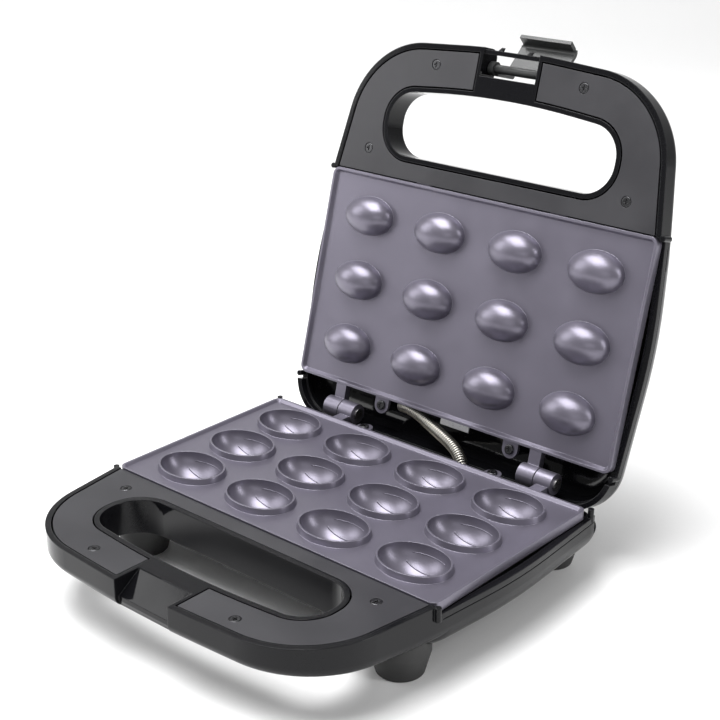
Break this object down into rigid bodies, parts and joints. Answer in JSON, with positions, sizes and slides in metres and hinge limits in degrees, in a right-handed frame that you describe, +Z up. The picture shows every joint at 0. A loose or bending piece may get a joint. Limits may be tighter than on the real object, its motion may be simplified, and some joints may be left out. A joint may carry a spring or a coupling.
{
  "type": "nut-shaped cake maker",
  "caption": "Hinged electric maker for nut-shaped cakes, standing open, with moulded plates, loop handles and a snap latch.",
  "frame": {"origin": "centre of the open maker's footprint, on the surface that its feet stand on", "axes": "+Z up, +Y from the handle towards the hinge, +X to the right seen from the handle"},
  "size_m": [0.2312, 0.3158, 0.2561],
  "materials": {
    "housing_black": "glossy black moulded plastic",
    "panel_black": "satin dark grey plastic",
    "nonstick": "satin dark grey non-stick coating on cast aluminium",
    "dark_screw": "black zinc-plated steel",
    "bright_steel": "plain steel",
    "element_sheath": "heat-darkened steel sheath",
    "foil_steel": "aluminised sheet",
    "latch_black": "satin black plastic",
    "rubber": "matt black rubber",
    "sleeve_wire": "close-wound plated spring wire",
    "lead_insulation": "silicone insulation",
    "ceramic": "white phenolic",
    "red_lens": "clear red plastic",
    "green_lens": "clear green plastic",
    "lamp_glass": "clear glass"
  },
  "bodies": {
    "base": {"base_handle_panel": "panel_black", "base_panel_screws": "dark_screw", "base_shell": "housing_black", "cord_bush": "rubber", "foot_front_left": "rubber", "foot_front_right": "rubber", "foot_rear_left": "rubber", "foot_rear_right": "rubber", "foot_screws": "dark_screw", "hinge_pin_left": "bright_steel", "hinge_pin_right": "bright_steel", "link_leads": "lead_insulation", "lower_heating_element": "element_sheath", "lower_plate": "nonstick", "lower_plate_screws": "dark_screw", "lower_reflector": "foil_steel", "lower_reflector_screws": "bright_steel", "lower_thermal_fuse": "lead_insulation", "spring_sleeve": "sleeve_wire", "terminal_block": "ceramic", "thermostat": "ceramic"},
    "lid": {"latch_pin": "latch_black", "lid_handle_panel": "panel_black", "lid_panel_screws": "dark_screw", "lid_shell": "housing_black", "pilot_lamps": "lamp_glass", "power_lens": "red_lens", "ready_lens": "green_lens", "upper_heating_element": "element_sheath", "upper_plate": "nonstick", "upper_plate_screws": "dark_screw", "upper_reflector": "foil_steel", "upper_reflector_screws": "bright_steel", "upper_thermal_fuse": "lead_insulation"},
    "latch": {"latch_clip": "latch_black"}
  },
  "joints": [
    {"name": "lid_hinge", "type": "hinge", "parent": "base", "child": "lid", "pos_m": [0, 0.06202, 0.0415], "axis": [1, 0, 0], "range_deg": [0, 105], "deforming": ["spring_sleeve", "link_leads"]},
    {"name": "latch_pivot", "type": "hinge", "parent": "lid", "child": "latch", "pos_m": [0, 0.12764, 0.24081], "axis": [1, 0, 0], "range_deg": [0, 123]}
  ]
}
